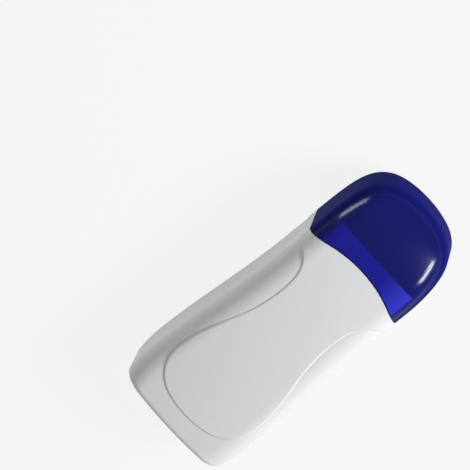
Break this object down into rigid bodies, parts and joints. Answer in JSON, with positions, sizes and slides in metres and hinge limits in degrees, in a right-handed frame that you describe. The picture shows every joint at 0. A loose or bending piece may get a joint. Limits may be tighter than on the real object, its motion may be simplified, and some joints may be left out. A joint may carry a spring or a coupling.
{
  "type": "roll-on wax heater",
  "caption": "Handheld wax heater: white two-shell housing with a heated bay, domed blue lid, and a roll-on cartridge with roller and pull-off cover seated in the bay.",
  "frame": {"origin": "centre of the flat back's plane, at the middle of the overall length and width", "axes": "the heater lies on its flat back: +Z out of the front panel, +Y along the length towards the lid, +X across the width to the right seen from the front"},
  "size_m": [0.0722, 0.176, 0.05],
  "materials": {
    "housing_white": "satin",
    "bay_blue": "gloss",
    "window_clear": "clear",
    "plate_metal": "satin",
    "film_amber": "satin",
    "electrode_metal": "satin",
    "stone_grey": "matte",
    "clip_steel": "satin",
    "screw_steel": "satin",
    "fuse_white": "matte",
    "inlet_black": "matte",
    "pin_brass": "satin",
    "lead_brown": "matte",
    "lead_blue": "matte",
    "lid_blue": "gloss",
    "bottle_amber": "clear",
    "wax_honey": "gloss",
    "head_grey": "satin",
    "roller_grey": "satin",
    "cover_grey": "gloss"
  },
  "bodies": {
    "housing": {"front_shell": "housing_white", "rear_shell": "housing_white", "bay_liner": "bay_blue", "level_window": "window_clear", "heater_plate": "plate_metal", "insulating_film": "film_amber", "lower_electrode": "electrode_metal", "upper_electrode": "electrode_metal", "ptc_stones": "stone_grey", "spring_clips": "clip_steel", "plate_screws": "screw_steel", "thermal_fuse": "fuse_white", "fuse_clamp": "clip_steel", "power_inlet": "inlet_black", "inlet_pins": "pin_brass", "live_lead": "lead_brown", "neutral_lead": "lead_blue", "bridge_lead": "lead_brown", "housing_screws": "screw_steel"},
    "cartridge": {"cartridge_bottle": "bottle_amber", "wax_fill": "wax_honey", "head_frame": "head_grey"},
    "roller": {"roller": "roller_grey"},
    "cover": {"head_cover": "cover_grey"},
    "lid": {"lid": "lid_blue"}
  },
  "joints": [
    {"name": "cartridge_slide", "type": "slide", "parent": "housing", "child": "cartridge", "axis": [0, 1, 0], "range_m": [0, 0.12]},
    {"name": "cover_pull", "type": "slide", "parent": "cartridge", "child": "cover", "axis": [0, 1, 0], "range_m": [0, 0.026]},
    {"name": "lid_pull", "type": "slide", "parent": "cover", "child": "lid", "axis": [0, 1, 0], "range_m": [0, 0.06]},
    {"name": "roller_spin", "type": "hinge", "parent": "cartridge", "child": "roller", "pos_m": [0, 0.059, 0.0225], "axis": [1, 0, 0], "continuous": true}
  ]
}
